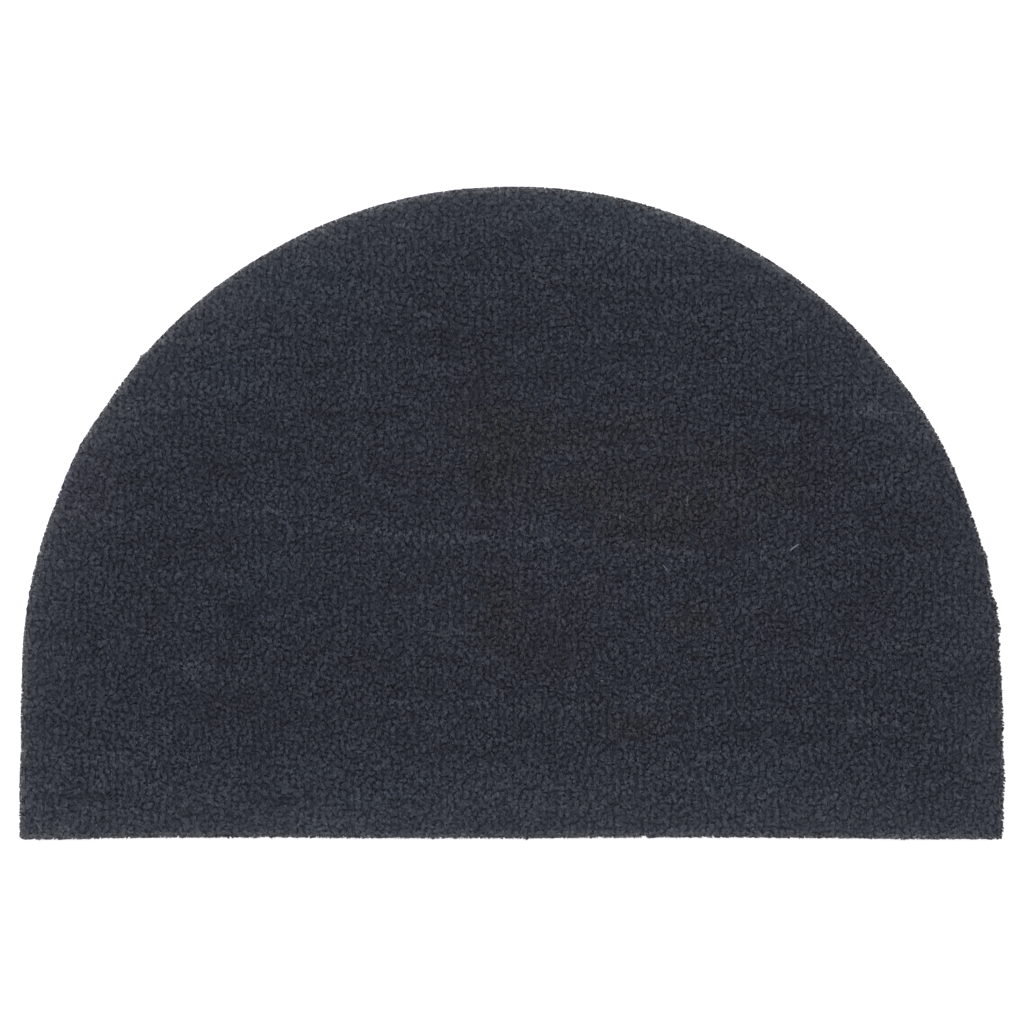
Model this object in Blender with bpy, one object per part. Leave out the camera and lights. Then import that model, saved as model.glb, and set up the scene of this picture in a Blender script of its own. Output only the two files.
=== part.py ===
# Half-round coir doormat: one flat slab of dense, level coir pile, cut to a half circle on a short
# straight-sided foot. Metres, +Z up, lying on its underside. The straight front edge faces -Y, the
# top of the arch faces +Y, and the origin is the middle of the underside's bounding box.

import math

import bmesh
import bpy
import numpy as np

# Driving dimensions
ARCH_RADIUS = 0.3000
SIDE_HEIGHT = 0.1005
THICKNESS = 0.0150
RIM_ROUND = 0.0030
CORNER_ROUND = 0.0020

# How finely the outline and the worn rim are drawn
EDGE_STEP = 0.0040
CORNER_STEPS = 3
RIM_STEPS = 3
MERGE_DISTANCE = 0.00001
MM = 0.001

# The cut edge wanders by a tuft's reach, and each table says how far it stands out in millimetres.
# Round the arch: the bearing from +X in degrees, and how far out of the true circle.
ARCH_WANDER = [
    (0.0, 1.0),
    (2.5, 0.1),
    (4.5, 1.0),
    (5.6, 2.2),
    (6.4, 1.0),
    (8.2, 1.9),
    (9.2, -0.4),
    (12.0, 0.2),
    (14.1, 0.9),
    (15.0, -0.3),
    (20.0, -0.5),
    (30.0, 0.3),
    (40.0, -0.4),
    (55.0, 0.0),
    (80.0, 0.4),
    (92.0, -0.1),
    (100.0, 0.2),
    (120.0, -0.2),
    (138.5, -0.4),
    (139.4, 0.6),
    (140.2, -0.4),
    (146.0, -0.7),
    (152.0, 0.6),
    (160.0, -0.2),
    (168.0, 0.8),
    (180.0, 1.2),
]

# Down each side: millimetres below the arch's centre, and how far out of the arch's radius.
RIGHT_SIDE_WANDER = [
    (0.0, 1.3),
    (15.0, 1.7),
    (30.0, 2.5),
    (49.0, 2.1),
    (56.0, 3.0),
    (65.0, 3.5),
    (74.0, 2.4),
    (90.0, 2.4),
    (100.5, 1.8),
]
LEFT_SIDE_WANDER = [
    (0.0, 1.3),
    (15.0, 1.6),
    (25.0, 2.2),
    (36.0, 1.8),
    (53.0, 2.1),
    (65.0, 2.6),
    (86.0, 2.7),
    (100.5, 2.8),
]

# Along the front: millimetres from the middle, and how far out of the straight line.
FRONT_WANDER = [
    (-302.0, 0.8),
    (-262.0, 0.6),
    (-250.0, -0.1),
    (-210.0, -0.3),
    (-150.0, -0.5),
    (-90.0, -0.1),
    (0.0, 0.2),
    (60.0, -0.3),
    (110.0, -0.5),
    (160.0, -0.3),
    (210.0, 0.1),
    (240.0, 0.6),
    (302.0, 0.6),
]

# Coir dyed anthracite, in linear colour
COIR_COLOUR = (0.0296, 0.0331, 0.0423, 1.0)
COIR_ROUGHNESS = 0.92

MAT_NAME = "coir_mat"
COLLECTION_NAME = "half_round_coir_doormat"


def clear_scene():
    for thing in list(bpy.data.objects):
        bpy.data.objects.remove(thing, do_unlink=True)


def coir_material():
    material = bpy.data.materials.new("dyed_coir")
    material.use_nodes = True
    shader = material.node_tree.nodes["Principled BSDF"]
    shader.inputs["Base Color"].default_value = COIR_COLOUR
    shader.inputs["Roughness"].default_value = COIR_ROUGHNESS
    shader.inputs["Metallic"].default_value = 0.0
    material.diffuse_color = COIR_COLOUR
    return material


def stands_out(table, place):
    # How far the edge stands out at a place along its table, in metres
    places = [row[0] for row in table]
    reaches = [row[1] for row in table]
    return float(np.interp(place, places, reaches)) * MM


def steps_along(start, end, true_length):
    # Evenly spaced places from start to end, about one EDGE_STEP apart on the real edge
    count = max(2, round(true_length / EDGE_STEP) + 1)
    return np.linspace(start, end, count)


def front_point(x):
    return (x, -SIDE_HEIGHT - stands_out(FRONT_WANDER, x / MM))


def side_point(hand, table, below):
    return (hand * (ARCH_RADIUS + stands_out(table, below / MM)), -below)


def arch_point(bearing):
    reach = ARCH_RADIUS + stands_out(ARCH_WANDER, bearing)
    angle = math.radians(bearing)
    return (reach * math.cos(angle), reach * math.sin(angle))


def corner_points(corner, start_angle):
    # A small round where a side meets the front, a quarter turn from start_angle
    inward_x = -math.copysign(CORNER_ROUND, corner[0])
    centre = (corner[0] + inward_x, corner[1] + CORNER_ROUND)
    points = []
    for step in range(CORNER_STEPS + 1):
        angle = math.radians(start_angle + 90.0 * step / CORNER_STEPS)
        points.append((centre[0] + CORNER_ROUND * math.cos(angle), centre[1] + CORNER_ROUND * math.sin(angle)))
    return points


def mat_outline():
    # Anticlockwise from the front's left end, about the arch's centre
    right_foot = side_point(1, RIGHT_SIDE_WANDER, SIDE_HEIGHT)[0]
    left_foot = side_point(-1, LEFT_SIDE_WANDER, SIDE_HEIGHT)[0]
    left_corner = (left_foot, front_point(left_foot)[1])
    right_corner = (right_foot, front_point(right_foot)[1])

    side_run = SIDE_HEIGHT - CORNER_ROUND
    front_ends = (left_foot + CORNER_ROUND, right_foot - CORNER_ROUND)
    front_run = steps_along(front_ends[0], front_ends[1], front_ends[1] - front_ends[0])
    right_run = steps_along(side_run, 0.0, side_run)
    arch_run = steps_along(0.0, 180.0, math.pi * ARCH_RADIUS)
    left_run = steps_along(0.0, side_run, side_run)

    outline = corner_points(left_corner, 180.0)
    outline += [front_point(x) for x in front_run[1:-1]]
    outline += corner_points(right_corner, 270.0)
    outline += [side_point(1, RIGHT_SIDE_WANDER, below) for below in right_run[1:-1]]
    outline += [arch_point(bearing) for bearing in arch_run]
    outline += [side_point(-1, LEFT_SIDE_WANDER, below) for below in left_run[1:-1]]
    return outline


def centred(outline):
    xs = [point[0] for point in outline]
    ys = [point[1] for point in outline]
    middle_x = (min(xs) + max(xs)) / 2
    middle_y = (min(ys) + max(ys)) / 2
    return [(x - middle_x, y - middle_y) for x, y in outline]


def cut_slab(outline):
    # The cut outline as a filled flat curve, given the mat's thickness
    curve = bpy.data.curves.new("mat_cut", "CURVE")
    curve.dimensions = "2D"
    curve.fill_mode = "BOTH"
    curve.extrude = THICKNESS / 2
    spline = curve.splines.new("POLY")
    spline.points.add(len(outline) - 1)
    for point, (x, y) in zip(spline.points, outline):
        point.co = (x, y, 0.0, 1.0)
    spline.use_cyclic_u = True

    cut = bpy.data.objects.new("mat_cut", curve)
    bpy.context.scene.collection.objects.link(cut)
    evaluated = cut.evaluated_get(bpy.context.evaluated_depsgraph_get())
    slab = bpy.data.meshes.new_from_object(evaluated)
    bpy.data.objects.remove(cut, do_unlink=True)
    bpy.data.curves.remove(curve)
    return slab


def round_the_rim(slab):
    # One closed body standing on z = 0, with each face of the slab in one piece and the top rim worn round
    bm = bmesh.new()
    bm.from_mesh(slab)
    bmesh.ops.translate(bm, verts=bm.verts, vec=(0.0, 0.0, THICKNESS / 2))
    bmesh.ops.remove_doubles(bm, verts=bm.verts, dist=MERGE_DISTANCE)
    bmesh.ops.recalc_face_normals(bm, faces=bm.faces)
    for side in (1.0, -1.0):
        cap = [face for face in bm.faces if face.normal.z * side > 0.5]
        bmesh.ops.dissolve_faces(bm, faces=cap)
    rim = [edge for edge in bm.edges if all(vert.co.z > THICKNESS / 2 for vert in edge.verts)]
    bmesh.ops.bevel(
        bm,
        geom=rim,
        offset=RIM_ROUND,
        offset_type="OFFSET",
        segments=RIM_STEPS,
        profile=0.5,
        affect="EDGES",
        material=-1,
    )
    bm.to_mesh(slab)
    bm.free()
    slab.shade_smooth()
    slab.set_sharp_from_angle(angle=math.radians(40.0))


def build_mat():
    collection = bpy.data.collections.new(COLLECTION_NAME)
    bpy.context.scene.collection.children.link(collection)
    slab = cut_slab(centred(mat_outline()))
    round_the_rim(slab)
    slab.name = MAT_NAME
    slab.materials.append(coir_material())
    mat = bpy.data.objects.new(MAT_NAME, slab)
    collection.objects.link(mat)


clear_scene()
build_mat()
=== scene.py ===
import math

import bmesh
import bpy
import numpy as np
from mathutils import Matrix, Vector, kdtree


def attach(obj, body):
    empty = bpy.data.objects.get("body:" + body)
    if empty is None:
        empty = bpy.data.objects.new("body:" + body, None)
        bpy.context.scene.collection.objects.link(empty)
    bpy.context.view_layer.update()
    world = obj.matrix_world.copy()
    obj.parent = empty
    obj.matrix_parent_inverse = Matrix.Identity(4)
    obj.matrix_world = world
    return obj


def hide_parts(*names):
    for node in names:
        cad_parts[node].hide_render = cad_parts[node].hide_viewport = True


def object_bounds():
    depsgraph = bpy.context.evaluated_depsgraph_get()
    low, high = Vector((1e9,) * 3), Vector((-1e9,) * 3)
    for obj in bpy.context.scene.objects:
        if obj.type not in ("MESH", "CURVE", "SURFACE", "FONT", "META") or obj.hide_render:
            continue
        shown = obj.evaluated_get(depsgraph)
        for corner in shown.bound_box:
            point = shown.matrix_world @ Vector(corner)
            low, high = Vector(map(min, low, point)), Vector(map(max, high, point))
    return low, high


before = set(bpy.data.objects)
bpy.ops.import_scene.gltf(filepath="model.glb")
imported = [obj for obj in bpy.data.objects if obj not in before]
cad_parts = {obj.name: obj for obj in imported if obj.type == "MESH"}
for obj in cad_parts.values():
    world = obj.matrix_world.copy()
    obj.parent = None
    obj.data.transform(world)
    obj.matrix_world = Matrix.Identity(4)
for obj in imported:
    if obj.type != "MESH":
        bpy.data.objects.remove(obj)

# Half-round coir doormat. The dictionaries give lengths in millimetres, and mm turns them to metres.
mm = 0.001
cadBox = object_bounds()
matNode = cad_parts["coir_mat"]
weldGap = 0.01 * mm


def hexToLinear(code):
    # An sRGB hex colour as linear RGBA
    channels = [int(code[i:i + 2], 16) / 255 for i in (0, 2, 4)]
    return [c / 12.92 if c <= 0.04045 else ((c + 0.055) / 1.055) ** 2.4 for c in channels] + [1.0]


def addNode(tree, kind, settings=None, values=None, links=None):
    # One node, with its settings, its socket values and the sockets that feed it
    node = tree.nodes.new(kind)
    for name, value in (settings or {}).items():
        setattr(node, name, value)
    for name, value in (values or {}).items():
        node.inputs[name].default_value = value
    for name, source in (links or {}).items():
        tree.links.new(source, node.inputs[name])
    return node


def newMaterial(name):
    # A named material with its node tree and shader
    material = bpy.data.materials.new(name)
    material.use_nodes = True
    return material, material.node_tree, material.node_tree.nodes["Principled BSDF"]


def addPiece(name, mesh, material):
    piece = bpy.data.objects.new(name, mesh)
    bpy.context.scene.collection.objects.link(piece)
    mesh.materials.append(material)
    return piece


# Materials

coirLook = {
    "dyeDeep": "12151e",      # fibres that took the most dye
    "dyeFaded": "404654",     # cut ends and brushed fibres
    "deepShadeTint": "e0ebff",     # painted shade: multiplies the colour below the cut ends, darker and bluer, as deep pile looks in shade
    "shadeTintFrom": 12.8,         # between these heights that painted shade tint fades out
    "shadeTintTo": 14.8,
    "paintedLightFrom": 11.6,         # between these heights the painted light comes in, so fibres are painted lighter near their tops
    "paintedLightTo": 13.6,
    "plainTint": "f2faff",    # these tints multiply the dye too
    "paintedLightTint": "fffadd",  # painted light's tint, for places painted lighter, as lit fibres look
    "paintedLightTintFull": 2.3,         # how much lighter than the plain dye a place is painted when it takes that tint in full
    "rustTint": "ffecd4",
    "plumTint": "ffeaec",
    "fibreThick": 0.45,       # real fibres are 0.2 to 0.4 mm
    "fibreRun": 6.0,          # a streak is this many times longer along the fibres
    "fibreContrast": 0.06,
    "clumpThick": 1.6,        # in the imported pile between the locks, fibres show as clumps
    "clumpContrast": 0.7,
    "fibreRelief": 0.03,
    "reliefStrength": 0.6,
    "roughness": 0.72,
    "specular": 0.3,
}


def makeDyedCoir(name, fibreThick, fibreContrast):
    # Dyed coir: coconut husk fibre, coarse and dull, dyed anthracite before it is cut level.
    # Single fibres show as short dull streaks. The cut ends are painted a little lighter than the sides, and
    # the pile below them painted darker: painted light and painted shade.
    look = coirLook
    material, tree, shader = newMaterial(name)
    shade = addNode(tree, "ShaderNodeAttribute", {"attribute_name": "shade"})
    paintedLightAndTone = addNode(tree, "ShaderNodeAttribute", {"attribute_name": "paintedLightAndTone"})
    rust = addNode(tree, "ShaderNodeAttribute", {"attribute_name": "rust"})
    plum = addNode(tree, "ShaderNodeAttribute", {"attribute_name": "plum"})
    place = addNode(tree, "ShaderNodeTexCoord")
    run = fibreThick / look["fibreRun"]
    along = addNode(tree, "ShaderNodeMapping", values={"Scale": (1.0, 1.0, run)},
                    links={"Vector": place.outputs["Object"]})
    streaks = addNode(tree, "ShaderNodeTexNoise",
                      values={"Scale": 1.0 / (fibreThick * mm), "Detail": 1.0, "Roughness": 0.5},
                      links={"Vector": along.outputs["Vector"]})
    streakTone = addNode(tree, "ShaderNodeMapRange",
                         values={"From Min": 0.3, "From Max": 0.7,
                                 "To Min": 1.0 - fibreContrast, "To Max": 1.0 + fibreContrast},
                         links={"Value": streaks.outputs["Fac"]})
    dye = addNode(tree, "ShaderNodeMix", {"data_type": "RGBA"},
                  {"A": hexToLinear(look["dyeDeep"]), "B": hexToLinear(look["dyeFaded"])},
                  {"Factor": shade.outputs["Fac"]})
    height = addNode(tree, "ShaderNodeSeparateXYZ", links={"Vector": place.outputs["Object"]})
    # Painted light: the lightening counts in full only high on the fibres
    paintedLightShare = addNode(tree, "ShaderNodeMapRange", {"interpolation_type": "SMOOTHSTEP"},
                        {"From Min": look["paintedLightFrom"] * mm, "From Max": look["paintedLightTo"] * mm},
                        {"Value": height.outputs["Z"]})
    # The lift attribute holds painted light and painted shade, with the dye's own uneven tone
    gain = addNode(tree, "ShaderNodeMath", {"operation": "SUBTRACT"}, {1: 1.0}, {0: paintedLightAndTone.outputs["Fac"]})
    lightAndToneLevel = addNode(tree, "ShaderNodeMath", {"operation": "MULTIPLY_ADD"}, {2: 1.0},
                     {0: gain.outputs["Value"], 1: paintedLightShare.outputs["Result"]})
    # Places painted lighter take the painted light's tint
    paintedLightTintShare = addNode(tree, "ShaderNodeMapRange", values={"From Min": 1.0, "From Max": look["paintedLightTintFull"]},
                      links={"Value": lightAndToneLevel.outputs["Value"]})
    plain = addNode(tree, "ShaderNodeMix", {"data_type": "RGBA"},
                    {"A": hexToLinear(look["plainTint"]), "B": hexToLinear(look["paintedLightTint"])},
                    {"Factor": paintedLightTintShare.outputs["Result"]})
    rusted = addNode(tree, "ShaderNodeMix", {"data_type": "RGBA"}, {"B": hexToLinear(look["rustTint"])},
                     {"Factor": rust.outputs["Fac"], "A": plain.outputs["Result"]})
    turned = addNode(tree, "ShaderNodeMix", {"data_type": "RGBA"}, {"B": hexToLinear(look["plumTint"])},
                     {"Factor": plum.outputs["Fac"], "A": rusted.outputs["Result"]})
    dyed = addNode(tree, "ShaderNodeVectorMath", {"operation": "MULTIPLY"},
                   links={0: dye.outputs["Result"], 1: turned.outputs["Result"]})
    # Painted shade: low in the pile the colour is tinted darker and bluer
    outOfShade = addNode(tree, "ShaderNodeMapRange", {"interpolation_type": "SMOOTHSTEP"},
                    {"From Min": look["shadeTintFrom"] * mm, "From Max": look["shadeTintTo"] * mm},
                    {"Value": height.outputs["Z"]})
    tint = addNode(tree, "ShaderNodeMix", {"data_type": "RGBA"},
                   {"A": hexToLinear(look["deepShadeTint"]), "B": hexToLinear("ffffff")},
                   {"Factor": outOfShade.outputs["Result"]})
    tinted = addNode(tree, "ShaderNodeVectorMath", {"operation": "MULTIPLY"},
                     links={0: dyed.outputs["Vector"], 1: tint.outputs["Result"]})
    level = addNode(tree, "ShaderNodeMath", {"operation": "MULTIPLY"},
                    links={0: lightAndToneLevel.outputs["Value"], 1: streakTone.outputs["Result"]})
    colour = addNode(tree, "ShaderNodeVectorMath", {"operation": "SCALE"},
                     links={0: tinted.outputs["Vector"], "Scale": level.outputs["Value"]})
    relief = addNode(tree, "ShaderNodeBump",
                     values={"Strength": look["reliefStrength"], "Distance": look["fibreRelief"] * mm},
                     links={"Height": streaks.outputs["Fac"]})
    tree.links.new(colour.outputs["Vector"], shader.inputs["Base Color"])
    tree.links.new(relief.outputs["Normal"], shader.inputs["Normal"])
    shader.inputs["Roughness"].default_value = look["roughness"]
    shader.inputs["Specular IOR Level"].default_value = look["specular"]
    return material


groundLook = {
    "dark": "17181a",
    "light": "222326",
    "pebbleWide": 1.2,
    "pebbleDeep": 0.1,
    "pebbleStrength": 0.5,
    "roughness": 0.6,
}


def makeBondedGround():
    # Soft black vinyl that the roots are bonded into, poured and cooled on a belt: plain, dull
    # and faintly pebbled
    look = groundLook
    material, tree, shader = newMaterial("bondedGround")
    place = addNode(tree, "ShaderNodeTexCoord")
    pebble = addNode(tree, "ShaderNodeTexNoise",
                     values={"Scale": 1.0 / (look["pebbleWide"] * mm), "Detail": 2.0},
                     links={"Vector": place.outputs["Object"]})
    tone = addNode(tree, "ShaderNodeMix", {"data_type": "RGBA"},
                   {"A": hexToLinear(look["dark"]), "B": hexToLinear(look["light"])},
                   {"Factor": pebble.outputs["Fac"]})
    relief = addNode(tree, "ShaderNodeBump",
                     values={"Strength": look["pebbleStrength"], "Distance": look["pebbleDeep"] * mm},
                     links={"Height": pebble.outputs["Fac"]})
    tree.links.new(tone.outputs["Result"], shader.inputs["Base Color"])
    tree.links.new(relief.outputs["Normal"], shader.inputs["Normal"])
    shader.inputs["Roughness"].default_value = look["roughness"]
    return material


undyedLook = {
    "dull": "42474f",         # a fibre that took much of the dye
    "bright": "6d727b",       # and one that took hardly any
    "patchRun": 1.5,          # how far its unevenness runs
    "uneven": 0.2,
    "roughness": 0.7,
}


def makeUndyedCoir():
    # A coir fibre that took little of the dye: pale grey, dull, a little uneven along its length
    look = undyedLook
    material, tree, shader = newMaterial("undyedCoir")
    place = addNode(tree, "ShaderNodeTexCoord")
    grain = addNode(tree, "ShaderNodeTexNoise",
                    values={"Scale": 1.0 / (look["patchRun"] * mm), "Detail": 1.0},
                    links={"Vector": place.outputs["Object"]})
    pale = addNode(tree, "ShaderNodeAttribute", {"attribute_name": "pale"})
    tone = addNode(tree, "ShaderNodeMix", {"data_type": "RGBA"},
                   {"A": hexToLinear(look["dull"]), "B": hexToLinear(look["bright"])},
                   {"Factor": pale.outputs["Fac"]})
    uneven = addNode(tree, "ShaderNodeMapRange",
                     values={"To Min": 1.0 - look["uneven"], "To Max": 1.0 + look["uneven"]},
                     links={"Value": grain.outputs["Fac"]})
    colour = addNode(tree, "ShaderNodeVectorMath", {"operation": "SCALE"},
                     links={0: tone.outputs["Result"], "Scale": uneven.outputs["Result"]})
    tree.links.new(colour.outputs["Vector"], shader.inputs["Base Color"])
    shader.inputs["Roughness"].default_value = look["roughness"]
    return material


dyedCoir = makeDyedCoir("dyedCoir", coirLook["fibreThick"], coirLook["fibreContrast"])
packedCoir = makeDyedCoir("packedCoir", coirLook["clumpThick"], coirLook["clumpContrast"])
bondedGround = makeBondedGround()
undyedCoir = makeUndyedCoir()
print("materials made")


# The cut edge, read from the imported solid

def readCutEdge():
    # Points round the solid halfway up, in millimetres, anticlockwise from -X
    bm = bmesh.new()
    bm.from_mesh(matNode.data)
    bmesh.ops.remove_doubles(bm, verts=bm.verts, dist=weldGap)
    middle = (cadBox[0][2] + cadBox[1][2]) / 2
    cut = bmesh.ops.bisect_plane(bm, geom=bm.verts[:] + bm.edges[:] + bm.faces[:],
                                 plane_co=(0, 0, middle), plane_no=(0, 0, 1))
    points = np.array([v.co.xy for v in cut["geom_cut"] if isinstance(v, bmesh.types.BMVert)]) / mm
    bm.free()
    return points[np.argsort(np.arctan2(points[:, 1], points[:, 0]))]


cutEdge = readCutEdge()
edgeRun = np.roll(cutEdge, -1, axis=0) - cutEdge
edgeLength = np.hypot(edgeRun[:, 0], edgeRun[:, 1])
edgeSteps = np.linspace(0, 1, 40, endpoint=False)[None, :, None]
edgeTrace = (cutEdge[:, None] + edgeSteps * edgeRun[:, None]).reshape(-1, 2)
traceBearing = np.arctan2(edgeTrace[:, 1], edgeTrace[:, 0])
traceReach = np.hypot(edgeTrace[:, 0], edgeTrace[:, 1])
edgeTree = kdtree.KDTree(len(edgeTrace))
for number, (x, y) in enumerate(edgeTrace):
    edgeTree.insert((x, y, 0), number)
edgeTree.balance()


def measureInside(points):
    # For each point, how far inside the cut edge it lies, in millimetres and below zero outside it,
    # and the way its nearest stretch of edge faces, in degrees from +X
    found = [edgeTree.find((x, y, 0))[1:] for x, y in points]
    stretch = np.array([number for number, _ in found]) // len(edgeSteps[0])
    facing = np.degrees(np.arctan2(-edgeRun[stretch, 0], edgeRun[stretch, 1])) % 360
    nearest = np.array([distance for _, distance in found])
    bearing = np.arctan2(points[:, 1], points[:, 0])
    reach = np.interp(bearing, traceBearing, traceReach, period=2 * math.pi)
    return np.where(np.hypot(points[:, 0], points[:, 1]) < reach, nearest, -nearest), facing


print("cut edge read:", len(cutEdge), "points,", round(float(edgeLength.sum())), "mm round")


# How light the pile is painted from place to place: painted light and painted shade, patches and the dye's
# own tone

# Lighter or darker patches. x, y: middle, mm from the mat's middle. along, across: reach, mm.
# turn: degrees from +X. lift: share lighter, or darker below zero.
pilePatches = [
    (-78.0, -9.0, 66.0, 8.0, -2.0, 0.10),
    (8.0, -9.0, 20.0, 7.0, -5.0, 0.23),
    (90.0, -25.0, 18.0, 7.0, -6.0, 0.22),
    (-178.0, 74.0, 21.0, 5.0, -8.0, 0.16),
    (-234.0, -145.0, 32.0, 9.0, 28.0, 0.22),
    (-195.0, -92.0, 8.0, 9.0, 0.0, 0.22),
    (-240.0, -103.0, 12.0, 7.0, 0.0, 0.12),
    (220.0, 63.0, 7.0, 10.0, 0.0, 0.18),
    (213.0, -16.0, 6.0, 10.0, 0.0, 0.28),
    (15.0, -42.0, 7.0, 6.0, 0.0, 0.18),
    (160.0, -170.0, 9.0, 7.0, 0.0, 0.18),
    (-40.0, -72.0, 10.0, 8.0, 30.0, 0.16),
    (-14.0, -90.0, 10.0, 4.0, -5.0, 0.16),
    (90.0, -113.0, 10.0, 6.0, -40.0, 0.15),
    (30.0, 146.0, 45.0, 6.0, -4.0, 0.10),
    (-13.0, 133.0, 6.0, 12.0, -20.0, 0.15),
    (34.0, 124.0, 16.0, 9.0, -10.0, 0.17),
    (-125.0, 157.0, 10.0, 7.0, -30.0, 0.24),
    (85.0, 83.0, 30.0, 6.0, -3.0, 0.13),
    (115.0, 74.0, 24.0, 18.0, 0.0, 0.09),
    (35.0, 19.0, 45.0, 5.0, 2.0, 0.12),
    (115.0, 27.0, 26.0, 8.0, 0.0, 0.11),
    (20.0, 58.0, 11.0, 6.0, 0.0, 0.14),
    (160.0, -36.0, 18.0, 13.0, -60.0, 0.14),
    (-145.0, -13.0, 6.0, 7.0, 0.0, 0.16),
    (-245.0, -4.0, 7.0, 5.0, 0.0, 0.18),
    (190.0, -71.0, 7.0, 6.0, 0.0, 0.24),
    (-182.0, -28.0, 6.0, 6.0, 0.0, 0.26),
    (-215.0, -180.0, 20.0, 6.0, -5.0, 0.18),
    (286.0, -186.0, 9.0, 8.0, 0.0, 0.14),
    (-288.0, -196.0, 22.0, 7.0, 3.0, 0.30),
    (0.0, -166.0, 290.0, 24.0, 0.0, 0.09),
    (-110.0, 95.0, 60.0, 42.0, 0.0, 0.04),
    (75.0, 60.0, 75.0, 7.0, 0.0, 0.06),
    (60.0, -52.0, 90.0, 22.0, -8.0, 0.06),
    (-22.0, 104.0, 32.0, 8.0, 3.0, -0.16),
    (-178.0, 26.0, 15.0, 8.0, -30.0, -0.18),
    (-175.0, -12.0, 10.0, 18.0, 0.0, -0.15),
    (-230.0, -10.0, 12.0, 5.0, 0.0, -0.14),
    (-128.0, -32.0, 9.0, 9.0, 0.0, -0.14),
    (-19.0, 22.0, 5.0, 9.0, 0.0, -0.22),
    (-18.0, -45.0, 8.0, 11.0, 0.0, -0.25),
    (-12.0, -74.0, 10.0, 10.0, 0.0, -0.22),
    (-163.0, -67.0, 8.0, 10.0, 0.0, -0.30),
    (-185.0, -70.0, 22.0, 14.0, 0.0, -0.08),
    (15.0, -54.0, 7.0, 5.0, 0.0, -0.18),
    (174.0, 24.0, 15.0, 11.0, 10.0, -0.22),
    (222.0, 44.0, 14.0, 6.0, -20.0, -0.16),
    (262.0, -9.0, 26.0, 16.0, -30.0, -0.20),
    (268.0, 26.0, 10.0, 12.0, 0.0, -0.14),
    (175.0, 128.0, 34.0, 10.0, -35.0, -0.14),
    (150.0, 136.0, 8.0, 7.0, 0.0, -0.18),
    (125.0, 152.0, 20.0, 5.0, -3.0, -0.14),
    (200.0, 95.0, 28.0, 7.0, 0.0, -0.15),
    (172.0, 76.0, 26.0, 12.0, -10.0, -0.10),
    (232.0, 77.0, 10.0, 9.0, 0.0, -0.12),
    (-96.0, -92.0, 32.0, 7.0, -5.0, -0.13),
    (-178.0, -122.0, 36.0, 9.0, 8.0, -0.13),
    (-282.0, -122.0, 22.0, 13.0, 0.0, -0.14),
    (-165.0, -164.0, 22.0, 8.0, 0.0, -0.11),
    (-225.0, 20.0, 24.0, 6.0, 3.0, -0.12),
    (282.0, -96.0, 18.0, 20.0, 0.0, -0.19),
    (286.0, -55.0, 12.0, 16.0, 0.0, -0.10),
    (120.0, 6.0, 6.0, 12.0, 0.0, -0.15),
    (63.0, -38.0, 7.0, 7.0, 0.0, -0.22),
    (225.0, -38.0, 15.0, 6.0, 0.0, -0.12),
    (-75.0, 26.0, 13.0, 7.0, -20.0, -0.13),
    (-10.0, 32.0, 13.0, 55.0, 0.0, -0.06),
    (30.0, -170.0, 26.0, 8.0, 0.0, -0.10),
    (-70.0, -197.0, 64.0, 4.0, 0.0, -0.10),
    (252.0, 8.0, 42.0, 50.0, 0.0, -0.06),
    (-268.0, -60.0, 24.0, 42.0, 0.0, -0.06),
]

# Long thin rows of painted light and painted shade, for tips laid over by brushing and cut deeper by the
# shears. Columns as above.
paintedLightAndShadeRows = [
    (-148.0, 1.0, 26.0, 1.8, -3.0, 0.43),
    (-88.0, -10.5, 30.0, 1.8, -7.0, 0.43),
    (-42.0, -15.0, 32.0, 1.7, -1.0, 0.55),
    (45.0, -17.0, 28.0, 1.7, -2.0, 0.43),
    (97.0, -22.5, 22.0, 2.0, -3.0, 0.46),
    (-52.0, -117.0, 32.0, 1.7, -1.0, 0.41),
    (28.0, -120.0, 28.0, 1.9, -1.0, 0.52),
    (105.0, -121.5, 34.0, 1.6, -3.0, 0.32),
    (188.0, -126.5, 45.0, 1.8, -4.0, 0.49),
    (-200.0, 106.0, 28.0, 1.8, 2.0, 0.41),
    (-240.0, 62.0, 16.0, 2.0, 8.0, 0.43),
    (232.0, 16.0, 34.0, 1.8, -7.0, 0.41),
    (130.0, 18.5, 24.0, 1.8, 0.0, 0.38),
    (228.0, 61.5, 22.0, 1.8, 0.0, 0.41),
    (-128.0, -64.0, 28.0, 1.8, 1.0, 0.36),
    (-265.0, -1.0, 26.0, 1.7, 0.0, 0.38),
    (238.0, -83.0, 42.0, 1.6, -4.0, 0.38),
    (176.0, 59.5, 22.0, 2.4, -1.0, -0.41),
    (60.0, 51.5, 30.0, 1.8, -3.0, -0.36),
    (-98.0, 61.0, 34.0, 1.8, 1.0, -0.35),
    (-140.0, -176.0, 30.0, 1.8, 2.0, -0.41),
    (-262.0, -174.0, 30.0, 1.6, 1.0, -0.36),
]

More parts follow.
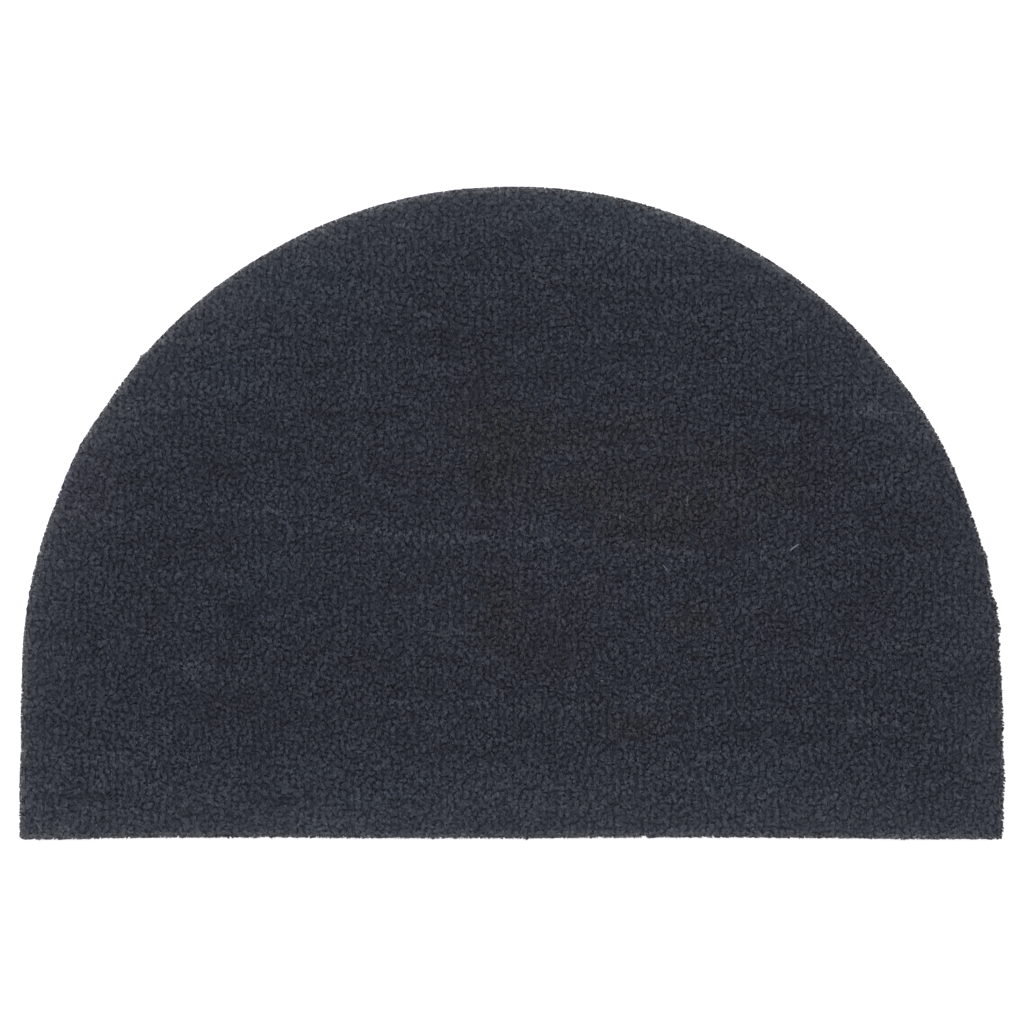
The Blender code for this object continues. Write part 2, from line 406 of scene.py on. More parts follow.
# Where the dye has turned rusty or plum. x, y, along, across, turn: as above.
# rust: added to the plain dye's own share of rust, or taken off below zero, which leaves the dye bluer.
# plum: 0 none to 1 full.
plainRust = 0.42
dyePatches = [
    (-25.0, 76.0, 15.0, 13.0, 0.0, 0.1, 0.8),
    (-8.0, 55.0, 32.0, 12.0, 0.0, 0.45, 0.2),
    (-10.0, 25.0, 17.0, 16.0, 0.0, 0.6, 0.1),
    (32.0, 45.0, 30.0, 8.0, 0.0, 0.4, 0.0),
    (40.0, 16.0, 25.0, 8.0, 0.0, 0.5, 0.1),
    (75.0, 18.0, 22.0, 13.0, 0.0, 0.5, 0.6),
    (122.0, 36.0, 26.0, 8.0, 0.0, 0.5, 0.3),
    (118.0, 22.0, 24.0, 9.0, 0.0, 0.35, 0.75),
    (98.0, 4.0, 44.0, 9.0, 0.0, 0.8, 0.3),
    (85.0, -13.0, 34.0, 9.0, 0.0, 0.5, 0.6),
    (134.0, -10.0, 8.0, 18.0, 0.0, 0.15, 0.75),
    (168.0, 16.0, 18.0, 7.0, 0.0, 0.6, 0.2),
    (188.0, 20.0, 13.0, 22.0, 0.0, 0.15, 0.8),
    (-8.0, -4.0, 17.0, 13.0, 0.0, 0.0, 0.6),
    (5.0, -35.0, 18.0, 6.0, 0.0, 0.0, 0.7),
    (-6.0, -62.0, 14.0, 24.0, 0.0, 0.5, 0.3),
    (24.0, -74.0, 24.0, 20.0, 0.0, 0.25, 0.75),
    (50.0, -50.0, 14.0, 9.0, 0.0, 0.2, 0.7),
    (-262.0, 14.0, 18.0, 17.0, 0.0, 0.3, 0.65),
    (110.0, -66.0, 14.0, 7.0, 0.0, 0.6, 0.3),
    (164.0, -73.0, 13.0, 13.0, 0.0, 0.0, 0.8),
    (226.0, -68.0, 12.0, 9.0, 0.0, 0.0, 0.6),
    (-60.0, 28.0, 13.0, 8.0, 0.0, 0.2, 0.6),
    (75.0, 55.0, 22.0, 7.0, 0.0, 0.4, 0.4),
    (75.0, -131.0, 15.0, 7.0, 0.0, 0.45, 0.0),
    (-172.0, 85.0, 26.0, 18.0, 0.0, -0.35, 0.15),
    (-120.0, 140.0, 34.0, 14.0, 0.0, -0.30, 0.0),
    (-165.0, 3.0, 46.0, 11.0, 0.0, -0.35, 0.3),
    (-150.0, -42.0, 18.0, 26.0, 0.0, -0.32, 0.15),
    (-140.0, -64.0, 48.0, 9.0, 0.0, -0.30, 0.3),
    (-235.0, -98.0, 38.0, 16.0, 0.0, -0.40, 0.45),
    (-222.0, -150.0, 22.0, 26.0, 0.0, -0.40, 0.45),
    (-100.0, -170.0, 62.0, 18.0, 0.0, -0.30, 0.15),
    (150.0, -165.0, 42.0, 14.0, 0.0, -0.20, 0.0),
    (215.0, 70.0, 24.0, 12.0, 0.0, -0.35, 0.3),
    (60.0, 178.0, 60.0, 12.0, -8.0, -0.20, 0.0),
]

# Painted light: the rim is painted lighter, as its fibres look lying open to the light.
# inside: how far inside the cut edge. allRound: how much lighter the rim is painted there. lampSide: how much
# more is painted on the lamp's side. contrast: the share that is left of the contrast between its locks.
# facing: the way the edge faces, in degrees from +X. lampShare: how much of lampSide such a stretch gets.
# rustInside: how far inside the cut edge, for rust: how rusty the dye is there.
rimPaintedLightAndRust = {
    "inside": [0.0, 1.0, 1.8, 3.0, 4.3, 5.8, 8.0, 10.8, 15.4, 23.0, 34.0, 48.0, 62.0, 80.0],
    "allRound": [4.30, 1.72, 0.97, 0.26, 0.15, 0.24, 0.22, 0.22, 0.22, 0.20, 0.10, 0.06, 0.0, 0.0],
    "lampSide": [2.40, 1.90, 0.95, 1.10, 0.70, 0.17, 0.17, 0.14, 0.05, 0.0, 0.0, 0.0, 0.0, 0.0],
    "facing": [0.0, 30.0, 60.0, 90.0, 120.0, 150.0, 180.0, 270.0, 360.0],
    "lampShare": [0.05, 0.35, 0.75, 1.0, 0.9, 0.75, 0.7, 0.45, 0.05],
    "contrast": [0.60, 0.55, 0.50, 0.45, 0.42, 0.43, 0.47, 0.52, 0.60, 0.68, 0.75, 0.85, 0.92, 1.0],
    "rustInside": [0.6, 1.0, 1.6, 2.4, 3.4, 9.0],
    "rust": [0.95, 0.95, 0.7, 0.38, 0.32, 0.42],
}

# Soft uneven dye, in clouds that are longer from side to side. across, along: size. lift: share lighter.
dyeClouds = [
    (11.0, 30.0, 0.05),
    (26.0, 90.0, 0.045),
]


def softNoise(x, y, size, seed):
    # Smooth unevenness about size across, of spread 1, from waves of mixed direction
    rng = np.random.default_rng(seed)
    total = np.zeros_like(x)
    waves = 28
    for _ in range(waves):
        bearing, phase = rng.uniform(0, 2 * math.pi, 2)
        pace = 2 * math.pi / size * rng.uniform(0.5, 1.5)
        total += np.cos(pace * (x * math.cos(bearing) + y * math.sin(bearing)) + phase)
    return total / math.sqrt(waves / 2)


def patchReach(x, y, patch):
    # How strongly a patch reaches each place, 1 in its middle and falling off softly
    px, py, along, across, turn, amount = patch
    c, s = math.cos(math.radians(turn)), math.sin(math.radians(turn))
    u = ((x - px) * c + (y - py) * s) / along
    v = ((y - py) * c - (x - px) * s) / across
    return amount * np.exp(-(np.abs(u) ** 3 + v ** 2))


def rimPaintedLight(inside, facing):
    # Painted light: how much lighter than the plain dye the pile is painted near the rim, more on the lamp's
    # side
    lampShare = np.interp(facing, rimPaintedLightAndRust["facing"], rimPaintedLightAndRust["lampShare"])
    paintedLightAndTone = 1 + np.interp(inside, rimPaintedLightAndRust["inside"], rimPaintedLightAndRust["allRound"])
    return paintedLightAndTone + lampShare * np.interp(inside, rimPaintedLightAndRust["inside"], rimPaintedLightAndRust["lampSide"])


def pilePaintedLightAndTone(x, y, inside, facing):
    # How much lighter than the plain dye the pile is painted at each place: painted light at the rim and
    # along rows, painted shade along other rows, patches, and the dye's uneven tone
    paintedLightAndTone = rimPaintedLight(inside, facing)
    for number, (across, along, amount) in enumerate(dyeClouds):
        paintedLightAndTone *= 1 + amount * softNoise(x * across / along, y, across, 40 + number)
    for patch in pilePatches + paintedLightAndShadeRows:
        paintedLightAndTone *= 1 + patchReach(x, y, patch)
    return paintedLightAndTone


def pileDye(x, y, inside):
    # How far the dye has turned to rust and to plum at each place. The rim, laid open, is rusty.
    rust = np.interp(inside, rimPaintedLightAndRust["rustInside"], rimPaintedLightAndRust["rust"])
    plum = np.zeros_like(x)
    for *patch, rustShare, plumShare in dyePatches:
        reach = patchReach(x, y, (*patch, 1.0))
        rust = rust + rustShare * reach
        plum = plum + plumShare * reach
    return np.clip(rust, 0, 1), np.clip(plum, 0, 1)


# The mat's base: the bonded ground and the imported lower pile

baseSizes = {
    "groundThick": 1.6,
    "groundInset": 0.5,       # the pile spreads a little past the ground it is cut with
    "pileInset": 0.8,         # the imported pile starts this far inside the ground's edge
    "pileTop": 13.1,          # where the locks close up, seen from above
    "shoulder": 0.5,
    # Over the shoulder, each further ring's step inwards and upwards: the rim's locks close up higher
    "rings": [(2.0, 0.6), (4.0, 0.0), (6.0, -0.1), (10.0, -0.15), (15.0, -0.2), (22.0, -0.15)],
    "shade": 0.43,
}


def shrinkBy(inward):
    # The scale that draws the mat's outline in by so many millimetres
    return (1 + inward * mm / cadBox[0][0], 1 + inward * mm / cadBox[0][1], 1)


def makeBase():
    sizes = baseSizes
    bm = bmesh.new()
    bm.from_mesh(matNode.data)
    bmesh.ops.remove_doubles(bm, verts=bm.verts, dist=weldGap)
    bmesh.ops.bisect_plane(bm, geom=bm.verts[:] + bm.edges[:] + bm.faces[:], clear_outer=True,
                           plane_co=(0, 0, sizes["groundThick"] * mm), plane_no=(0, 0, 1))
    bmesh.ops.scale(bm, vec=shrinkBy(sizes["groundInset"]), verts=bm.verts)
    rim = [edge for edge in bm.edges if edge.is_boundary]
    top = bmesh.ops.contextual_create(bm, geom=rim)["faces"]
    rise = sizes["pileTop"] - sizes["shoulder"] - sizes["groundThick"]
    steps = [(sizes["pileInset"], 0.0), (0.0, rise), (sizes["shoulder"], sizes["shoulder"])]
    for inward, upward in steps + sizes["rings"]:
        top = bmesh.ops.extrude_discrete_faces(bm, faces=top)["faces"]
        bmesh.ops.scale(bm, vec=shrinkBy(inward), verts=top[0].verts)
        bmesh.ops.translate(bm, vec=(0, 0, upward * mm), verts=top[0].verts)
    bmesh.ops.recalc_face_normals(bm, faces=bm.faces)
    for face in bm.faces:
        if max(v.co.z for v in face.verts) > sizes["groundThick"] * mm + weldGap:
            face.material_index = 1
    mesh = bpy.data.meshes.new("matBase")
    bm.to_mesh(mesh)
    bm.free()
    piece = addPiece("matBase", mesh, bondedGround)
    mesh.materials.append(packedCoir)
    inside, facing = measureInside(np.array([v.co.xy for v in mesh.vertices]) / mm)
    # The lower pile is painted lighter near the rim too: painted light
    values = {"shade": sizes["shade"], "paintedLightAndTone": rimPaintedLight(inside, facing), "rust": plainRust, "plum": 0.0}
    for name, value in values.items():
        layer = mesh.attributes.new(name, "FLOAT", "POINT")
        layer.data.foreach_set("value", np.broadcast_to(value, len(mesh.vertices)).astype(np.float32))
    return piece


matBase = makeBase()
print("base made")


# Locks of fibre, each one a few dozen fibres that cling together

def takeShape(bm):
    # The points and the faces of a small shape, as arrays
    bm.verts.index_update()
    points = np.array([v.co for v in bm.verts])
    faces = np.array([[v.index for v in face.verts] for face in bm.faces])
    bm.free()
    return points, faces


def lockShape(sides):
    # A lock of unit size, spreading from a point at the root to its cut end
    bm = bmesh.new()
    bmesh.ops.create_cone(bm, cap_ends=True, cap_tris=False, segments=sides, radius1=0, radius2=1, depth=1)
    bmesh.ops.remove_doubles(bm, verts=bm.verts, dist=weldGap)
    bmesh.ops.translate(bm, verts=bm.verts, vec=(0, 0, 0.5))
    return takeShape(bm)


def growLocks(name, shape, locks, material, flatten=1.0, slant=0.0):
    # One joined mesh of every lock. locks holds an array for each property, in millimetres.
    # The locks are longer by flatten along a line slant degrees left of +Y, and narrower across it.
    points, faces = shape
    count = len(locks["root"])
    rise = points[:, 2][None]
    bent = rise ** pileSizes["bend"]
    width = locks["rootWide"][:, None] * (1 - rise) + locks["topWide"][:, None] * rise
    c, s = np.cos(locks["turn"])[:, None], np.sin(locks["turn"])[:, None]
    ringX = points[:, 0][None] / locks["stretch"][:, None]
    ringY = points[:, 1][None] * locks["stretch"][:, None]
    across = (ringX * c - ringY * s) * width / flatten
    along = (ringX * s + ringY * c) * width * flatten
    c, s = math.cos(math.radians(slant)), math.sin(math.radians(slant))
    x = across * c - along * s
    y = across * s + along * c
    tilt = locks["tilt"]
    placed = np.empty((count, len(points), 3))
    placed[..., 0] = locks["root"][:, 0:1] + x + locks["lean"][:, 0:1] * bent
    placed[..., 1] = locks["root"][:, 1:2] + y + locks["lean"][:, 1:2] * bent
    placed[..., 2] = (locks["root"][:, 2:3] + rise * locks["height"][:, None]
                      + rise * (tilt[:, 0:1] * x + tilt[:, 1:2] * y))
    placed[..., 2] = np.minimum(placed[..., 2], pileSizes["cutLevel"])
    corners = (faces[None] + np.arange(count)[:, None, None] * len(points)).ravel()
    starts = np.arange(0, len(corners), faces.shape[1])
    mesh = bpy.data.meshes.new(name)
    mesh.vertices.add(count * len(points))
    mesh.vertices.foreach_set("co", (placed * mm).astype(np.float32).ravel())
    mesh.loops.add(len(corners))
    mesh.loops.foreach_set("vertex_index", corners.astype(np.int32))
    mesh.polygons.add(len(starts))
    mesh.polygons.foreach_set("loop_start", starts.astype(np.int32))
    mesh.update(calc_edges=True)
    mesh.shade_smooth()
    for key in ("shade", "paintedLightAndTone", "rust", "plum"):
        layer = mesh.attributes.new(key, "FLOAT", "POINT")
        layer.data.foreach_set("value", np.repeat(locks[key], len(points)).astype(np.float32))
    print(name, count, "locks,", len(starts), "triangles")
    return addPiece(name, mesh, material)


pileSizes = {
    "columnPitch": 4.43,      # the tufts stand in columns front to back
    "tuftPitch": 2.6,
    "stagger": 0.5,           # each column starts this share of a tuft after the last one
    "columnSlip": 0.5,
    "columnWander": 0.7,      # how far a column wanders to the side
    "wanderRun": 14.0,        # over how long, and how much slower from column to column
    "wanderShare": 0.35,
    "tuftJitter": (0.75, 0.55),
    "tuftRaise": 0.4,
    "tuftShade": 0.18,
    "tuftLean": (0.2, 0.2),   # shared by neighbours, and each tuft's own
    "leanRun": 9.0,           # how far neighbours share it
    "locks": 11,
    "spread": (1.62, 1.38),   # how far a tuft's locks stand from its middle
    "tuftStretch": 2.0,       # a tuft's tip is this much longer one way than the other
    "rootShare": 0.5,         # how much of that they already stand apart at the root
    "lockLean": 0.2,
    "lockRaise": 0.46,
    "domed": 1.24,            # how much lower a tuft's outer locks end
    "tilt": 0.36,
    "domeTilt": 0.3,
    "bend": 1.4,              # a lock is straight at the root and leans more towards its tip
    "tall": 15.3,
    "tallest": 15.4,
    "cutLevel": 15.8,         # the shears leave nothing over this
    "rootHeight": 1.4,
    "topWide": 1.1,
    "topWideSpread": 0.25,
    "topWidest": 1.6,         # times the usual width
    "rimWider": 0.15,         # how much wider the locks are where the rim has least contrast
    "lockShade": 0.45,
    "midShade": 0.6,
    "sides": 3,
    "stretch": 1.4,           # a lock is this much longer one way, and as much narrower across it
    "stretchSpread": 0.15,
    "flatten": 1.14,          # locks are longer along a line slant degrees left of +Y
    "slant": 13.0,
    "edgeGap": 2.0,           # the rim's own rows take over this close to the cut edge
    "panels": 5,
}
sunflowerTurn = math.pi * (3 - math.sqrt(5))   # from one lock to the next, so that they fill a tuft evenly


def shareOut(rng, shape):
    # Random draws of spread 1 whose mean over each tuft is none, so that one tuft looks much like the next
    draws = rng.normal(0, 1, shape)
    return draws - draws.mean(1, keepdims=True)


def plantPile():
    sizes = pileSizes
    rng = np.random.default_rng(7)
    low, high = cutEdge.min(0), cutEdge.max(0)
    columns = np.arange(low[0], high[0], sizes["columnPitch"])
    rows = np.arange(low[1] - sizes["tuftPitch"], high[1], sizes["tuftPitch"])
    gridX, gridY = np.meshgrid(columns, rows)
    phase = sizes["stagger"] * (np.arange(len(columns)) % 2)
    phase = phase + rng.normal(0, sizes["columnSlip"], len(columns))
    gridY = gridY + sizes["tuftPitch"] * phase[None]
    x, y = gridX.ravel(), gridY.ravel()
    x = x + sizes["columnWander"] * softNoise(sizes["wanderShare"] * x, y, sizes["wanderRun"], 11)
    x = x + rng.normal(0, sizes["tuftJitter"][0], x.shape)
    y = y + rng.normal(0, sizes["tuftJitter"][1], x.shape)
    keep = measureInside(np.stack([x, y], -1))[0] > 0
    x, y = x[keep], y[keep]
    count, locks = len(x), sizes["locks"]

    # Each tuft's locks, as an array of tufts by locks
    bearing = rng.uniform(0, 2 * math.pi, count)[:, None] + sunflowerTurn * np.arange(locks)
    reach = np.broadcast_to(np.sqrt((np.arange(locks) + 0.5) / locks), (count, locks))
    outward = np.stack([np.cos(bearing), np.sin(bearing)], -1)
    tuftTurn = rng.uniform(0, math.pi, count)[:, None]
    tuftLong = math.sqrt(sizes["tuftStretch"])
    u, v = outward[..., 0] * reach * tuftLong, outward[..., 1] * reach / tuftLong
    c, s = np.cos(tuftTurn), np.sin(tuftTurn)
    apart = np.stack([u * c - v * s, u * s + v * c], -1)
    apart = apart * np.array(sizes["spread"])
    root = np.stack([x, y], -1)[:, None] + sizes["rootShare"] * apart
    shared = np.stack([softNoise(x, y, sizes["leanRun"], seed) for seed in (3, 4)], -1) * sizes["tuftLean"][0]
    own = rng.normal(0, sizes["tuftLean"][1], (count, 2))
    lean = (1 - sizes["rootShare"]) * apart + (shared + own)[:, None]
    lean = lean + rng.normal(0, sizes["lockLean"], (count, locks, 2))
    tipPlace = (root + lean).reshape(-1, 2)
    inside, facing = measureInside(tipPlace)
    contrast = np.interp(inside, rimPaintedLightAndRust["inside"], rimPaintedLightAndRust["contrast"]).reshape(count, locks)
    height = sizes["tall"] - sizes["rootHeight"] + rng.normal(0, sizes["tuftRaise"], count)[:, None]
    height = height - contrast ** 0.5 * sizes["domed"] * reach ** 2
    height = height + contrast ** 0.5 * sizes["lockRaise"] * shareOut(rng, (count, locks))
    height = np.minimum(height, sizes["tallest"] - sizes["rootHeight"])
    tilt = sizes["tilt"] * shareOut(rng, (count, locks, 2)) - sizes["domeTilt"] * outward
    tilt = contrast[..., None] * tilt
    shade = sizes["tuftShade"] * rng.normal(0, 1, count)[:, None]
    shade = shade + sizes["lockShade"] * shareOut(rng, (count, locks))
    shade = sizes["midShade"] * np.exp(contrast ** 0.6 * shade)
    topWide = np.minimum(rng.lognormal(0, sizes["topWideSpread"], (count, locks)), sizes["topWidest"])
    topWide = sizes["topWide"] * topWide * (1 + sizes["rimWider"] * (1 - contrast))
    turn = rng.uniform(0, 2 * math.pi, (count, locks))
    stretch = sizes["stretch"] * rng.lognormal(0, sizes["stretchSpread"], (count, locks))

    root = root.reshape(-1, 2)
    # Each lock's painted light and painted shade, with the dye's own uneven tone
    paintedLightAndTone = pilePaintedLightAndTone(tipPlace[:, 0], tipPlace[:, 1], inside, facing)
    rust, plum = pileDye(tipPlace[:, 0], tipPlace[:, 1], inside)
    grown = {
        "root": np.column_stack([root, np.full(len(root), sizes["rootHeight"])]),
        "lean": lean.reshape(-1, 2),
        "height": height.ravel(),
        "tilt": tilt.reshape(-1, 2),
        "rootWide": np.zeros(len(root)),
        "topWide": topWide.ravel(),
        "turn": turn.ravel(),
        "stretch": stretch.ravel(),
        "shade": np.clip(shade.ravel(), 0, 1),
        "paintedLightAndTone": paintedLightAndTone,
        "rust": rust,
        "plum": plum,
    }
    keep = inside > sizes["edgeGap"]
    shape = lockShape(sizes["sides"])
    borders = np.quantile(root[keep, 0], np.linspace(0, 1, sizes["panels"] + 1))
    borders[-1] += 1
    panels = []
    for number in range(sizes["panels"]):
        chosen = keep & (root[:, 0] >= borders[number]) & (root[:, 0] < borders[number + 1])
        part = {key: values[chosen] for key, values in grown.items()}
        panels.append(growLocks(f"pilePanel{number + 1}", shape, part, dyedCoir, sizes["flatten"],
                                sizes["slant"]))
    return panels


pilePanels = plantPile()


# The rim, where the knife has laid open the full length of the locks

rimSizes = {
    "rows": [0.4, 1.0, 1.7, 2.4],     # how far inside the cut edge
    "pitch": [0.8, 1.0, 1.2, 1.4],
    "pitchSlip": 0.3,
    "wide": [0.5, 0.7, 0.95, 1.1],
    "wideSpread": 0.2,
    "rootShare": 0.8,                 # how wide a root is, of the lock's own width
    "rootDeep": 0.6,                  # how much of the ground's thickness lies under the root
    "rootInside": 0.1,                # the least that a root lies inside the cut edge
    "lower": [0.9, 0.5, 0.2, 0.0],    # how much shorter than the pile
    "outLean": [0.6, 0.3, 0.15, 0.0],
    "jitter": 0.2,                    # this and lean are times rough
    "lean": 0.3,
    # How rough the knife ran, by the way the edge faces, in degrees from +X
    "facing": [0.0, 25.0, 50.0, 130.0, 180.0, 210.0, 240.0, 300.0, 335.0, 360.0],
    "rough": [1.15, 0.6, 0.3, 0.3, 0.6, 0.9, 0.6, 0.6, 0.8, 1.15],
    "raise": 0.4,
    "tilt": 0.22,
    "stretch": 1.35,                  # the locks lie flat along the cut
    "turnSpread": 0.4,
    "shoulder": 0.95,                 # where a lock's blunt tip starts, as a share of its height
    "shade": (0.55, 0.22),
    "reach": 0.6,                     # the furthest a tip may stand past the cut edge
    "tuftWide": 1.3,                  # half the width of a tuft that stands out
}

# Tufts that stand out of the cut edge. x, y: where, mm from the mat's middle. out: how far.
looseTufts = [
    (-244.4, -201.2, 0.7),
    (-159.5, -200.2, 0.7),
    (-48.8, -200.5, 1.0),
    (-35.3, -200.5, 0.6),
    (8.4, -200.6, 1.1),
    (84.7, -200.2, 1.0),
    (241.5, -201.0, 0.5),
    (295.0, -201.0, 0.5),
    (298.3, -70.7, 1.3),
    (296.7, -57.7, 1.0),
    (290.7, -26.9, 0.8),
    (252.7, 61.7, 0.5),
    (-183.0, 138.5, 0.5),
    (-227.6, 96.3, 0.9),
    (-265.2, 41.3, 0.7),
    (-296.2, -50.0, 0.4),
]


def plantRim():
    sizes = rimSizes
    rng = np.random.default_rng(19)
    runStart = np.concatenate([[0], np.cumsum(edgeLength)])
    around = runStart[-1]
    normal = np.stack([edgeRun[:, 1], -edgeRun[:, 0]], -1) / edgeLength[:, None]
    found = {key: [] for key in ("root", "lean", "height", "topWide", "shade", "turn", "past")}
    for back, pitch, wide, lower, outLean in zip(sizes["rows"], sizes["pitch"], sizes["wide"],
                                                 sizes["lower"], sizes["outLean"]):
        count = round(around / pitch)
        slip = rng.uniform(-sizes["pitchSlip"], sizes["pitchSlip"], count)
        place = (np.arange(count) + slip) * around / count % around
        stretch = np.clip(np.searchsorted(runStart, place, side="right") - 1, 0, len(cutEdge) - 1)
        share = (place - runStart[stretch]) / edgeLength[stretch]
        out = normal[stretch]
        facing = np.degrees(np.arctan2(out[:, 1], out[:, 0])) % 360
        rough = np.interp(facing, sizes["facing"], sizes["rough"])
        spot = cutEdge[stretch] + share[:, None] * edgeRun[stretch]
        past = np.zeros(count)
        for x, y, reach in looseTufts:
            away = (spot[:, 0] - x) ** 2 + (spot[:, 1] - y) ** 2
            past += reach * np.exp(-away / sizes["tuftWide"] ** 2)
        spot = spot - out * (back + rough * rng.normal(0, sizes["jitter"], count))[:, None]
        lean = out * (outLean + past)[:, None] + rough[:, None] * rng.normal(0, sizes["lean"], (count, 2))
        tall = pileSizes["tall"] - pileSizes["rootHeight"] - lower
        found["root"].append(spot)
        found["lean"].append(lean)
        found["height"].append(tall + rng.normal(0, sizes["raise"], count))
        found["topWide"].append(wide * rng.lognormal(0, sizes["wideSpread"], count))
        found["shade"].append(rng.normal(sizes["shade"][0], sizes["shade"][1], count))
        found["turn"].append(np.radians(facing) + rng.normal(0, sizes["turnSpread"], count))
        found["past"].append(past)
    grown = {key: np.concatenate(values) for key, values in found.items()}
    tipPlace = grown["root"] + grown["lean"]
    inside, facing = measureInside(tipPlace)
    rootInside = measureInside(grown["root"])[0]
    keep = (inside > -sizes["reach"] - grown.pop("past")) & (rootInside > sizes["rootInside"])
    # The rim's locks are painted lighter in the same way: painted light
    grown["paintedLightAndTone"] = pilePaintedLightAndTone(tipPlace[:, 0], tipPlace[:, 1], inside, facing)
    grown["rust"], grown["plum"] = pileDye(tipPlace[:, 0], tipPlace[:, 1], inside)
    grown["shade"] = np.clip(grown["shade"], 0, 1)
    grown["rootWide"] = sizes["rootShare"] * grown["topWide"]
    grown["stretch"] = np.full(len(inside), sizes["stretch"])
    grown["tilt"] = rng.normal(0, sizes["tilt"], (len(inside), 2))
    rootHeight = sizes["rootDeep"] * baseSizes["groundThick"]
    grown["root"] = np.column_stack([grown["root"], np.full(len(inside), rootHeight)])
    grown["height"] = grown["height"] + pileSizes["rootHeight"] - rootHeight
    chosen = {key: values[keep] for key, values in grown.items()}
    return growLocks("pileRim", rimShape(), chosen, dyedCoir)


def rimShape():
    # A lock of even width with a blunt tip
    bm = bmesh.new()
    bmesh.ops.create_cone(bm, cap_ends=True, cap_tris=False, segments=3, radius1=1, radius2=1, depth=1)
    bmesh.ops.translate(bm, verts=bm.verts, vec=(0, 0, 0.5))
    cap = [face for face in bm.faces if face.normal.z > 0.99]
    tip = bmesh.ops.poke(bm, faces=cap)["verts"]
    for v in bm.verts:
        if v.co.z > 0.5 and v not in tip:
            v.co.z = rimSizes["shoulder"]
    bmesh.ops.triangulate(bm, faces=bm.faces)
    return takeShape(bm)


pileRim = plantRim()


# Single fibres that missed the dye and lie loose on the pile

# x, y: middle, mm from the mat's middle. long, thick: size. turn: degrees from +X. bow: how far it is bent.
# pale: 0 for one that took much of the dye to 1 for one that took hardly any.
paleFibres = [
    (173.5, -21.0, 7.2, 1.0, 36.0, 0.2, 1.0),
    (94.5, -34.3, 6.4, 0.8, -53.0, 0.3, 0.45),
    (-291.2, -193.0, 7.0, 0.7, -59.0, 0.3, 0.45),
    (55.1, -103.2, 2.0, 0.7, 0.0, 0.1, 0.7),
    (131.1, 94.9, 1.5, 0.7, 0.0, 0.0, 0.7),
    (107.7, 8.4, 5.0, 0.7, 84.0, 0.4, 0.28),
    (152.3, -16.2, 2.2, 0.8, 75.0, 0.1, 0.35),
    (66.2, -2.3, 3.0, 1.0, 88.0, 0.1, 0.25),
]
fibreSizes = {
    "sides": 6,
    "rings": 8,
    "level": 15.5,            # height of a fibre's middle line
    "sag": 0.25,              # how much lower its ends lie
    "taper": 0.85,
    "flat": 0.6,              # how high it is, of its width
}


def layFibres():
    # Every pale fibre as a thin bent tube with rounded ends, in one joined mesh
    sizes = fibreSizes
    bm = bmesh.new()
    fibreBm = bmesh.new()
    bmesh.ops.create_cone(fibreBm, cap_ends=True, cap_tris=True, segments=sizes["sides"], radius1=1,
                          radius2=1, depth=1)
    for level in range(1, sizes["rings"]):
        height = level / sizes["rings"] - 0.5
        bmesh.ops.bisect_plane(fibreBm, geom=fibreBm.verts[:] + fibreBm.edges[:] + fibreBm.faces[:],
                               plane_co=(0, 0, height), plane_no=(0, 0, 1))
    bmesh.ops.translate(fibreBm, verts=fibreBm.verts, vec=(0, 0, 0.5))
    mesh = bpy.data.meshes.new("paleFibres")
    fibreBm.to_mesh(mesh)
    fibreBm.free()
    paleness = []
    for x, y, long, thick, turn, bow, pale in paleFibres:
        before = len(bm.verts)
        bm.from_mesh(mesh)
        bm.verts.ensure_lookup_table()
        c, s = math.cos(math.radians(turn)), math.sin(math.radians(turn))
        for v in bm.verts[before:]:
            across, up, share = v.co
            ends = abs(2 * share - 1)
            girth = thick / 2 * math.sqrt(1 - sizes["taper"] * ends ** 4)
            along = long * (share - 0.5)
            side = across * girth + bow * (0.5 - ends ** 2)
            height = sizes["level"] - sizes["sag"] * ends ** 2 + up * sizes["flat"] * girth
            v.co = Vector((x + along * c - side * s, y + along * s + side * c, height)) * mm
            paleness.append(pale)
    bmesh.ops.recalc_face_normals(bm, faces=bm.faces)
    bm.to_mesh(mesh)
    bm.free()
    mesh.shade_smooth()
    layer = mesh.attributes.new("pale", "FLOAT", "POINT")
    layer.data.foreach_set("value", np.array(paleness, np.float32))
    print("paleFibres", len(paleFibres))
    return addPiece("paleFibres", mesh, undyedCoir)


looseFibres = layFibres()


# Stage

stageSizes = {
    "cameraLens": 200.0,
    "sensor": 36.0,
    "frameWide": 629.9,       # how much of the floor the picture spans
    "lookAt": (-0.2, 0.7),
    "floorWide": 12000.0,
    "floorLevel": 0.05,       # a hair over the mat's underside, so that the two don't lie in one plane
    "floorTone": "f4f4f4",
    "floorRoughness": 0.9,
    "floorGlow": 0.5,         # keeps the floor white without bleaching the mat
    "domeStrength": 0.996,
    "lampPower": 9.0,
    "lampSize": 1200.0,
    "lampBearing": 110.0,     # degrees from +X, and over the floor
    "lampHeight": 65.0,
    "lampFar": 2000.0,
}


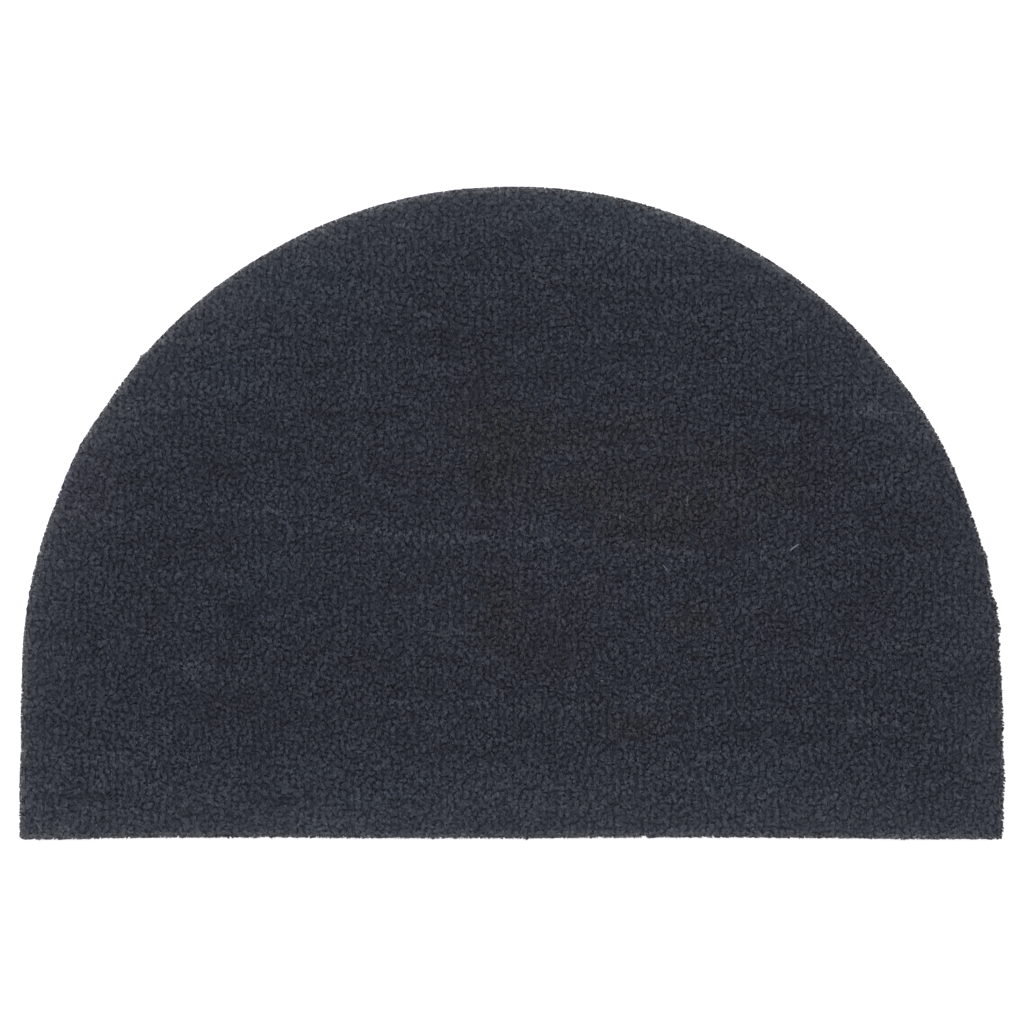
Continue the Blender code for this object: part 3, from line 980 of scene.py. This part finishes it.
def setStage():
    sizes = stageSizes
    scene = bpy.context.scene
    bm = bmesh.new()
    bmesh.ops.create_grid(bm, x_segments=1, y_segments=1, size=sizes["floorWide"] * mm / 2)
    bmesh.ops.translate(bm, verts=bm.verts, vec=(0, 0, sizes["floorLevel"] * mm))
    mesh = bpy.data.meshes.new("floor")
    bm.to_mesh(mesh)
    bm.free()
    # Matt white paper, lit softly
    material, _, shader = newMaterial("whitePaper")
    shader.inputs["Base Color"].default_value = hexToLinear(sizes["floorTone"])
    shader.inputs["Roughness"].default_value = sizes["floorRoughness"]
    shader.inputs["Emission Color"].default_value = (1.0, 1.0, 1.0, 1.0)
    shader.inputs["Emission Strength"].default_value = sizes["floorGlow"]
    floor = addPiece("floor", mesh, material)

    world = bpy.data.worlds.new("softDome")
    world.use_nodes = True
    world.node_tree.nodes["Background"].inputs["Color"].default_value = (1.0, 1.0, 1.0, 1.0)
    world.node_tree.nodes["Background"].inputs["Strength"].default_value = sizes["domeStrength"]
    scene.world = world

    light = bpy.data.lights.new("softLamp", "AREA")
    light.shape = "DISK"
    light.size = sizes["lampSize"] * mm
    light.energy = sizes["lampPower"]
    lamp = bpy.data.objects.new("softLamp", light)
    scene.collection.objects.link(lamp)
    bearing, height = math.radians(sizes["lampBearing"]), math.radians(sizes["lampHeight"])
    level = math.cos(height)
    way = Vector((level * math.cos(bearing), level * math.sin(bearing), math.sin(height)))
    lamp.location = way * sizes["lampFar"] * mm
    lamp.rotation_euler = (-way).to_track_quat("-Z", "Y").to_euler()

    camera = bpy.data.cameras.new("above")
    camera.lens = sizes["cameraLens"]
    camera.sensor_width = sizes["sensor"]
    cameraObject = bpy.data.objects.new("above", camera)
    scene.collection.objects.link(cameraObject)
    far = sizes["frameWide"] * mm * sizes["cameraLens"] / sizes["sensor"]
    cameraObject.location = (sizes["lookAt"][0] * mm, sizes["lookAt"][1] * mm, far + cadBox[1][2])
    scene.camera = cameraObject
    scene.view_settings.view_transform = "Standard"


setStage()
print("stage set")

# Riding and replacing

pilePieces = pilePanels + [pileRim, looseFibres]
for piece in [matBase] + pilePieces:
    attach(piece, "root")
    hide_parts("coir_mat")
